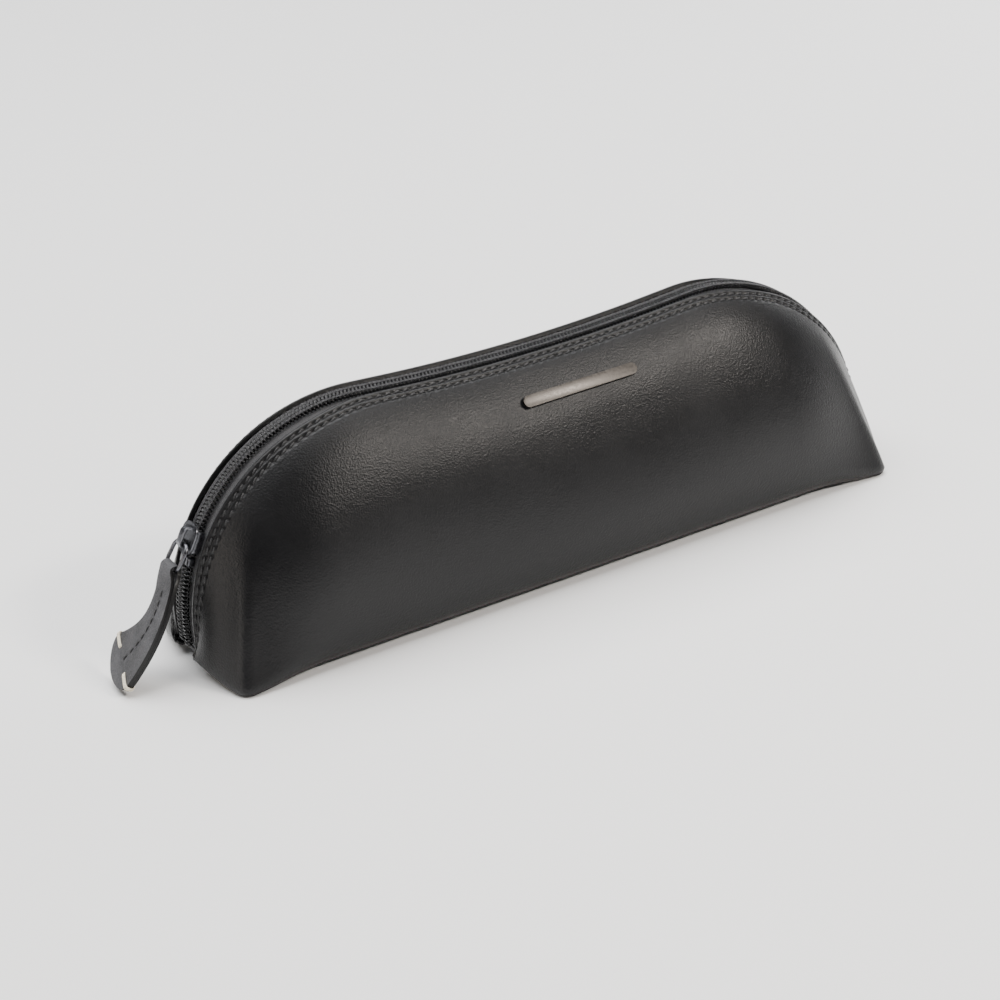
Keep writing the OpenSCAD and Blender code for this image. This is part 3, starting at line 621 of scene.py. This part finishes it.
def tape_strip(name, back):
    """Tape from the coil row, flat past the slider, then under the leather edge and down inside the wall."""
    runs = np.linspace(-HALF_RUN, HALF_RUN, 241)
    under_d = np.linspace(0.3, 8, 7) * MM
    low = -COIL_T / 2 - 0.05 * MM
    under = wall_grid(runs, lambda cut: under_d * min(1, cut.total / FULL_WALL))
    under = under - grid_normals(under) * (LEATHER_T + 0.1 * MM)
    flats = np.array([[beside(s, -y, low) for y in np.linspace(0.75 * MM, mouth(s) - 1.1 * MM, 6)]
                      for s in runs])
    grid = np.concatenate([flats, under], axis=1)
    tape = lofted(name, mirrored(grid) if back else grid)
    modify(tape, "SOLIDIFY", thickness=TAPE_T, offset=-1, use_even_offset=False)
    return dress(smooth(tape), TAPE)


STITCH_REACH = 0.41
THREAD_WIDE, THREAD_TALL, THREAD_DIP = 0.28 * MM, 0.26 * MM, 0.36 * MM


def stitch_model():
    """One stitch: a strand of thread, swollen in the middle, its ends pulled down into the needle holes."""
    deselect()
    bpy.ops.mesh.primitive_uv_sphere_add(segments=8, ring_count=7, radius=1, rotation=(0, math.pi / 2, 0))
    obj = settle(bpy.context.object)
    for v in obj.data.vertices:
        reach = v.co.x
        v.co = Vector((reach * STITCH_PITCH * STITCH_REACH, v.co.y * THREAD_WIDE,
                       v.co.z * THREAD_TALL - reach**4 * THREAD_DIP))
    return obj


def mouth_stitching(name, back):
    places = []
    count = int((HALF_RUN - 3 * MM) / STITCH_PITCH)
    flip = Matrix.Diagonal((1, -1, 1, 1))
    for row in (0, 1):
        for i in range(-count, count + 1):
            s = (i + row / 2) * STITCH_PITCH
            if abs(s) > HALF_RUN - 3 * MM:
                continue
            depth = STITCH_IN + row * STITCH_ROWS
            before, here, after = (Section(s + k * 0.4 * MM, tight=True) for k in (-1, 0, 1))
            shrink = min(1, here.total / FULL_WALL)
            low, point, high = (Vector(cut.at([depth * shrink])[0]) for cut in (before, here, after))
            x = (high - low).normalized()
            down = Vector(here.at([(depth + 0.3 * MM) * shrink])[0]) - point
            z = down.cross(x).normalized()
            turn = Matrix.Rotation(math.radians(16), 4, "Z")
            place = frame_matrix(x, z, point + z * 0.04 * MM) @ turn
            places.append(flip @ place if back else place)
    made = repeated(name, stitch_model(), places)
    if back:
        take(made)
        bpy.ops.object.mode_set(mode="EDIT")
        bpy.ops.mesh.select_all(action="SELECT")
        bpy.ops.mesh.normals_make_consistent(inside=False)
        bpy.ops.object.mode_set(mode="OBJECT")
    return dress(made, BLACK_THREAD)


# ---- Zip ----

SLIDER_ANGLE = math.radians(28)
SLIDER_L = 9.2 * MM
SLIDER_RUN = -(HOLLOW_RUN + SHOULDER_RUN - SLIDER_ANGLE * SHOULDER_R)
TOP_STOP_RUN = SLIDER_RUN - SLIDER_L / 2 - 1.7 * MM
BOTTOM_END = HALF_RUN - 3.2 * MM


def parting(s):
    """How far a coil row stands off its meshed place: nothing in the closed zip, apart below the slider."""
    return 0.75 * MM * (1 - ease(SLIDER_RUN - 5 * MM, SLIDER_RUN + 3 * MM, s))


COIL_MIDDLE, COIL_REACH, COIL_TALL = 1.12 * MM, 1.3 * MM, 0.68 * MM
STRAND_R = 0.23 * MM
TURN_STEPS = 12


def coil_row(name, back):
    """Monofilament wound to a flat coil; its heads reach past the middle and lie between the other row's."""
    side = 1 if back else -1
    strands = []
    for start, end in ((-HALF_RUN, TOP_STOP_RUN - 1.5 * MM), (TOP_STOP_RUN + 1.5 * MM, BOTTOM_END)):
        turns = int((end - start) / COIL_PITCH)
        first = math.ceil(start / COIL_PITCH) * COIL_PITCH + (COIL_PITCH / 2 if back else 0)
        path = []
        for k in range(turns * TURN_STEPS):
            a = 2 * math.pi * k / TURN_STEPS
            s = first + COIL_PITCH * k / TURN_STEPS
            y = COIL_MIDDLE - COIL_REACH * math.copysign(abs(math.cos(a)) ** 0.8, math.cos(a)) + parting(s)
            z = COIL_TALL * math.copysign(abs(math.sin(a)) ** 0.75, math.sin(a))
            path.append(beside(s, side * y, z - 0.05 * MM))
        strands.append(tube(name, path, STRAND_R, 1))
    return dress(join(name, strands), NYLON)


def coil_sewing(name, back):
    """Two lines of chain stitch that hold a coil row down on its tape."""
    side = 1 if back else -1
    lines = []
    for y0 in (1.35 * MM, 2.0 * MM):
        path = []
        steps = int((BOTTOM_END - TOP_STOP_RUN - 3 * MM) / COIL_PITCH * 4)
        for k in range(steps):
            s = TOP_STOP_RUN + 1.6 * MM + COIL_PITCH * k / 4
            a = math.pi * k / 2 + (0 if back else 1)
            y = y0 + 0.16 * MM * math.cos(a) + parting(s)
            path.append(beside(s, side * y, 0.84 * MM + 0.1 * MM * math.sin(a)))
        lines.append(tube(name, path, 0.13 * MM, 1))
    return dress(join(name, lines), ZIP_THREAD_PAINTED_GLINT)


SLIDER_OUT = Vector((-math.cos(SLIDER_ANGLE), 0, math.sin(SLIDER_ANGLE)))
SLIDER_BACK = Vector((math.sin(SLIDER_ANGLE), 0, math.cos(SLIDER_ANGLE)))
SLIDER_HALF = 4.3 * MM
PLATE_T = 0.8 * MM
SLIDER_TOP = COIL_T / 2 + 0.3 * MM
SLIDER_LOW = -1.99 * MM
BAIL_L, BAIL_W, BAIL_T = 5 * MM, 2.4 * MM, 0.8 * MM
BAIL_GAP = 1.5 * MM
BAIL_TURN = 1.5 * MM
BAIL_FOOT_HALF, BAIL_FLARE = 1.7 * MM, 1.8 * MM
FLANGE_LOW = -0.75


def slider_place(x, y, z):
    """Place on the slider: x along it towards the closed zip, y across, z outwards from the zip line."""
    return Vector((-SHOULDER_X, y, SHOULDER_Z)) + SLIDER_OUT * (SHOULDER_R + z) + SLIDER_BACK * x


def slider_plate(z):
    """A cast plate with a round outline."""
    rows = []
    for a in np.linspace(-math.pi / 2, math.pi / 2, 33):
        u = 0.9995 * math.sin(a)
        half = SLIDER_HALF * (1 - abs(u) ** 4) ** 0.42
        rows.append([slider_place(u * SLIDER_L / 2, k * half, z) for k in np.linspace(-1, 1, 15)])
    plate = lofted("slider_plate", np.array(rows))
    modify(plate, "SOLIDIFY", thickness=PLATE_T, offset=0, use_even_offset=False)
    return modify(plate, "BEVEL", width=0.25 * MM, segments=3, limit_method="ANGLE",
                  angle_limit=math.radians(50))


def slider_block(low, high):
    """A cast block between two corners, given in millimetres on the slider."""
    deselect()
    bpy.ops.mesh.primitive_cube_add(size=1)
    block = bpy.context.object
    for v in block.data.vertices:
        v.co = slider_place(*(mix(low[k], high[k], v.co[k] + 0.5) * MM for k in range(3)))
    return modify(block, "BEVEL", width=0.15 * MM, segments=2)


def slider_bail():
    """A flat strap arched over the plate, wider at its two feet."""
    half, low, r = (BAIL_L + BAIL_T) / 2, SLIDER_TOP + PLATE_T / 2, BAIL_TURN
    high = SLIDER_TOP + PLATE_T + BAIL_GAP + BAIL_T / 2
    side = [(-half, z) for z in np.linspace(low, high - r, 6)]
    side += [(-half + r - r * math.cos(a), high - r + r * math.sin(a))
             for a in np.linspace(0, math.pi / 2, 9)[1:]]
    path = side + [(0.0, high)] + [(-x, z) for x, z in side[::-1]]
    rows = []
    for x, z in path:
        wide = mix(BAIL_FOOT_HALF, BAIL_W / 2, ease(low, low + BAIL_FLARE, z))
        rows.append([slider_place(x, k * wide, z) for k in np.linspace(-1, 1, 7)])
    bail = lofted("slider_bail", np.array(rows))
    modify(bail, "SOLIDIFY", thickness=BAIL_T, offset=0, use_even_offset=True)
    return modify(bail, "BEVEL", width=0.22 * MM, segments=3, limit_method="ANGLE",
                  angle_limit=math.radians(50))


def zip_slider():
    top, low = SLIDER_TOP / MM, SLIDER_LOW / MM
    # Two plates, the bail, the post between the plates and a flange along each side
    parts = [slider_plate(SLIDER_TOP + PLATE_T / 2), slider_plate(SLIDER_LOW - PLATE_T / 2), slider_bail(),
             slider_block((-4, -0.55, low - 0.2), (-2.4, 0.55, top + 0.2)),
             slider_block((-3.2, -4.1, FLANGE_LOW), (3.2, -3.15, top + 0.2)),
             slider_block((-3.2, 3.15, FLANGE_LOW), (3.2, 4.1, top + 0.2))]
    slider = join("zip_slider", parts)
    take(slider)
    bpy.ops.object.mode_set(mode="EDIT")
    bpy.ops.mesh.select_all(action="SELECT")
    bpy.ops.mesh.normals_make_consistent(inside=False)
    bpy.ops.object.mode_set(mode="OBJECT")
    return dress(smooth(slider, 40), GUNMETAL)


def refined(name, node, bevel, segments, degrees, *finishes):
    """A copy of a CAD node with its edges eased, which then stands for the node."""
    obj = frame["nodes"][node].copy()
    obj.data = obj.data.copy()
    for key in list(obj.keys()):
        del obj[key]
    obj.parent = None
    obj.name = name
    bpy.context.scene.collection.objects.link(obj)
    take(obj)
    bpy.ops.object.mode_set(mode="EDIT")
    bpy.ops.mesh.select_all(action="SELECT")
    bpy.ops.mesh.remove_doubles(threshold=0.000005)
    bpy.ops.mesh.dissolve_limited(angle_limit=math.radians(2))
    bpy.ops.object.mode_set(mode="OBJECT")
    if bevel:
        modify(obj, "BEVEL", width=bevel, segments=segments, limit_method="ANGLE",
               angle_limit=math.radians(degrees), harden_normals=False)
    dress(smooth(obj, 35), *finishes)
    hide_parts(node)
    return obj


# ---- Pull: the wire link and the folded leather tab ----

PIVOT = joint_place("pull_link_swing")
BAR = joint_place("tab_swing")
DOWN = (BAR - PIVOT).normalized()
FRONT = Vector((0, -1, 0))
OUT = Vector((DOWN.z, 0, -DOWN.x))
WIRE_D = 1.2 * MM
LINK_W = 7.8 * MM
LINK_R = 2.4 * MM
TAB_T = 1.1 * MM
TAB_NECK = 3.1 * MM
TAB_HALF = 3.7 * MM
TAB_END_HALF = 9.3 * MM
TAB_DROP = 29.6 * MM
TAB_CAP = 5.7 * MM
TAB_START_TURN, TAB_END_TURN = math.radians(28), math.radians(33)
LOOP_IN = WIRE_D / 2 + 0.15 * MM
TAB_HANDLE = 0.43 * TAB_DROP
TAB_A = Vector((math.sin(TAB_START_TURN), math.cos(TAB_START_TURN))) * TAB_HANDLE
TAB_C = Vector((-0.9 * MM, TAB_DROP))
TAB_B = TAB_C - Vector((-math.sin(TAB_END_TURN), math.cos(TAB_END_TURN))) * TAB_HANDLE


def pull_link():
    link_l = (BAR - PIVOT).length
    corners = [(LINK_W / 2, 0), (LINK_W / 2, link_l), (-LINK_W / 2, link_l), (-LINK_W / 2, 0)]
    path = []
    for k, (x, y) in enumerate(corners):
        cx, cy = x - math.copysign(LINK_R, x), y + (LINK_R if y == 0 else -LINK_R)
        first = -90 + 90 * k
        for step in range(9):
            a = math.radians(first + 90 * step / 8)
            path.append(PIVOT + FRONT * (cx + LINK_R * math.cos(a)) + DOWN * (cy + LINK_R * math.sin(a)))
    link = tube("wire_link", path, WIRE_D / 2, 6, closed=True)
    return dress(link, GUNMETAL)


def tab_middle(q):
    """Middle line of the tab at share q of its way to the cross seam: to the front, down, and its turn."""
    if q > 1:
        x, y, a = tab_middle(1)
        beyond = (q - 1) * TAB_DROP
        return x + beyond * math.sin(a), y + beyond * math.cos(a), a
    v = 1 - q
    place = TAB_A * 3 * v * v * q + TAB_B * 3 * v * q * q + TAB_C * q**3
    d = TAB_A * v * v + (TAB_B - TAB_A) * 2 * v * q + (TAB_C - TAB_B) * q * q
    return place.x, place.y, math.atan2(d.x, d.y)


def tab_wide(q):
    if q <= 1:
        return mix(TAB_NECK, mix(TAB_HALF, TAB_END_HALF, q**2.2), ease(0.02, 0.14, q))
    share = min(0.9995, (q - 1) * TAB_DROP / TAB_CAP)
    return TAB_END_HALF * math.sqrt(1 - share**2)


def tab_place(x, y, z):
    return BAR + FRONT * x + DOWN * y + OUT * z


ACROSS = [math.sin(k * math.pi / 2 * 0.92) / math.sin(math.pi / 2 * 0.92) for k in np.linspace(-1, 1, 29)]


def tab_strip():
    """One strip, folded over the link's lower bar so that its two halves lie together."""
    cap = [1 + TAB_CAP / TAB_DROP * math.sin(a) for a in np.linspace(0, math.pi / 2, 14)[1:]]
    shares = list(np.linspace(0.0, 1, 60)) + cap
    loop_r = LOOP_IN + TAB_T / 2
    halves = []
    for layer in (1, -1):
        rows = []
        for q in shares:
            x, y, a = tab_middle(q)
            wide = tab_wide(q)
            a *= ease(-0.02, 0.1, q)
            spread = loop_r + (TAB_T / 2 + 0.02 * MM - loop_r) * ease(0.6 * MM, 6 * MM, y)
            row = []
            for k in ACROSS:
                seam = 0.18 * MM * math.exp(-((k * wide / (0.55 * MM)) ** 2)) * ease(0.16, 0.22, q) * (q < 1)
                groove = 0.2 * MM * math.exp(-(((q - 1) * TAB_DROP / (0.5 * MM)) ** 2))
                puff = 0.12 * MM * (1 - abs(k) ** 4)
                row.append(tab_place(x + k * wide * math.cos(a), y - k * wide * math.sin(a),
                                     layer * (spread + puff - seam - groove)))
            rows.append(row)
        halves.append(rows)
    loop = [[tab_place(k * TAB_NECK, -loop_r * math.sin(a), loop_r * math.cos(a)) for k in ACROSS]
            for a in np.linspace(0, math.pi, 17)[1:-1]]
    outer, inner = halves
    grid = np.array(outer[::-1] + loop + inner)
    tab = lofted("folded_tab", grid.transpose(1, 0, 2))
    dress(tab, TAB_LEATHER, EDGE_PAINT)
    modify(tab, "SOLIDIFY", thickness=TAB_T, offset=0, use_even_offset=True, material_offset_rim=1)
    modify(tab, "BEVEL", width=0.2 * MM, segments=3, limit_method="ANGLE", angle_limit=math.radians(50))
    return smooth(tab, 50)


def tab_running_stitch():
    places = []
    for i in range(9):
        q = mix(0.22, 0.96, i / 8)
        x, y, a = tab_middle(q)
        along = (FRONT * math.sin(a) + DOWN * math.cos(a)).normalized()
        for layer in (1, -1):
            z = OUT * layer
            tilt = Matrix.Rotation(math.radians(7), 4, "Z")
            places.append(frame_matrix(along, z, tab_place(x, y, layer * (TAB_T + 0.16 * MM))) @ tilt)
    return dress(repeated("tab_running_stitch", stitch_model(), places), BLACK_THREAD)


def bar_stitches():
    """Pale thread carried round the tab's edge at each end of the cross seam, two strands side by side."""
    strands = []
    x, y, a = tab_middle(1)
    wide = TAB_END_HALF
    across = Vector((math.cos(a), -math.sin(a)))
    along = Vector((math.sin(a), math.cos(a)))
    for side in (-1, 1):
        for strand in (-1, 1):
            path = []
            half_l, half_t = 2.6 * MM, TAB_T + 0.26 * MM
            for k in range(40):
                b = 2 * math.pi * k / 40
                u = math.copysign(abs(math.cos(b)) ** 0.35, math.cos(b)) * half_l
                z = math.copysign(abs(math.sin(b)) ** 0.5, math.sin(b)) * half_t
                away = side * (wide - half_l + 0.35 * MM + u)
                sway = strand * (0.3 * MM + 0.04 * MM * math.sin(3 * b))
                path.append(tab_place(x + across.x * away + along.x * sway,
                                      y + across.y * away + along.y * sway, z))
            strands.append(tube("bar_strand", path, 0.33 * MM, 2, closed=True))
    return dress(join("bar_stitches", strands), PALE_THREAD)


# ---- Build ----


def bends_with(piece):
    """Puts the piece's place into its mesh; the piece is attached to no body."""
    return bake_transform(piece)


for body, back in (("front_wall", False), ("back_wall", True)):
    word = "back" if back else "front"
    soft = [
        (leather_wall(word + "_leather", back), word + "_panel", "leather"),
        (lining_wall(word + "_lining_cloth", back), word + "_lining", "lining"),
        (tape_strip(word + "_zip_tape", back), word + "_tape", "zip_tape"),
        (coil_row(word + "_coil_row", back), word + "_coil", "zip_coil"),
        (mouth_stitching(word + "_mouth_stitching", back), word + "_stitching", "black_thread"),
    ]
    for piece, node, slot in soft:
        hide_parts(node)
        bends_with(piece)
    sewing = coil_sewing(word + "_coil_sewing", back)
    bends_with(sewing)
    stop = refined(word + "_zip_top_stop", word + "_top_stop", 0.35 * MM, 3, 40, GUNMETAL)
    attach(stop, body)

slider = zip_slider()
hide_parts("slider_body")
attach(slider, "slider")

link = pull_link()
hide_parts("pull_link")
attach(link, "link")

for piece, node, slot in (
    (tab_strip(), "pull_tab", "tab_leather"),
    (tab_running_stitch(), "tab_stitching", "black_thread"),
    (bar_stitches(), "tab_bar_stitches", "pale_thread"),
):
    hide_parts(node)
    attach(piece, "tab")

badge = refined("bar_badge", "badge_bar", 0.3 * MM, 3, 40, BADGE_METAL)
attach(badge, "front_wall")

for node, finish_used in (
    ("base_panel", LEATHER), ("base_board", BOARD), ("base_lining", LINING), ("end_binding_left", TAPE),
    ("end_binding_right", TAPE), ("bottom_stop", GUNMETAL), ("badge_backing", BADGE_METAL),
):
    dress(frame["nodes"][node], finish_used)


# ---- Floor, light and camera ----

def set_floor():
    deselect()
    bpy.ops.mesh.primitive_plane_add(size=6, location=(0, 0, 0))
    floor = bpy.context.object
    floor.name = "studio_floor"
    made, tree = material("white_studio_floor")
    finish(tree, {"Base Color": colour("#f4f4f4"), "Roughness": 0.8})
    dress(floor, made)


def soft_box(name, place, aim, size, power, tint):
    lamp = bpy.data.lights.new(name, "AREA")
    lamp.shape = "RECTANGLE"
    lamp.size, lamp.size_y = size
    lamp.energy = power
    lamp.color = colour(tint)[:3]
    obj = bpy.data.objects.new(name, lamp)
    obj.location = place
    obj.rotation_euler = (Vector(aim) - Vector(place)).to_track_quat("-Z", "Y").to_euler()
    bpy.context.scene.collection.objects.link(obj)


def set_light():
    world = bpy.data.worlds.new("studio")
    world.use_nodes = True
    world.node_tree.nodes["Background"].inputs["Color"].default_value = colour("#ffffff")
    world.node_tree.nodes["Background"].inputs["Strength"].default_value = 0.14
    bpy.context.scene.world = world
    soft_box("key", (0.4, -0.62, 0.62), (0, 0, 0.04), (0.26, 0.1), 7, "#fff8f0")
    soft_box("left", (-0.9, -0.05, 0.3), (-0.1, 0, 0.03), (0.3, 0.2), 1.6, "#fff6ec")
    soft_box("rim", (0.8, 0.3, 0.3), (0.05, 0, 0.04), (0.3, 0.3), 2.0, "#ffffff")
    soft_box("top", (0, 0.5, 1.7), (0, 0.1, 0), (2.4, 1.8), 84, "#ffffff")


def set_camera():
    turn, rise, roll = math.radians(29.02), math.radians(26.53), math.radians(4.37)
    distance, lens = 0.71825, 86.13
    back = Vector((-math.sin(turn) * math.cos(rise), -math.cos(turn) * math.cos(rise), math.sin(rise)))
    right = Vector((math.cos(turn), -math.sin(turn), 0))
    up = back.cross(right)
    across = right * math.cos(roll) - up * math.sin(roll)
    data = bpy.data.cameras.new("camera")
    data.lens, data.sensor_width = lens, 36
    data.clip_start, data.clip_end = 0.01, 20
    camera = bpy.data.objects.new("camera", data)
    camera.matrix_world = frame_matrix(across, back, Vector((-0.01195, 0, 0.0189)) + back * distance)
    bpy.context.scene.collection.objects.link(camera)
    bpy.context.scene.camera = camera


set_floor()
set_light()
set_camera()
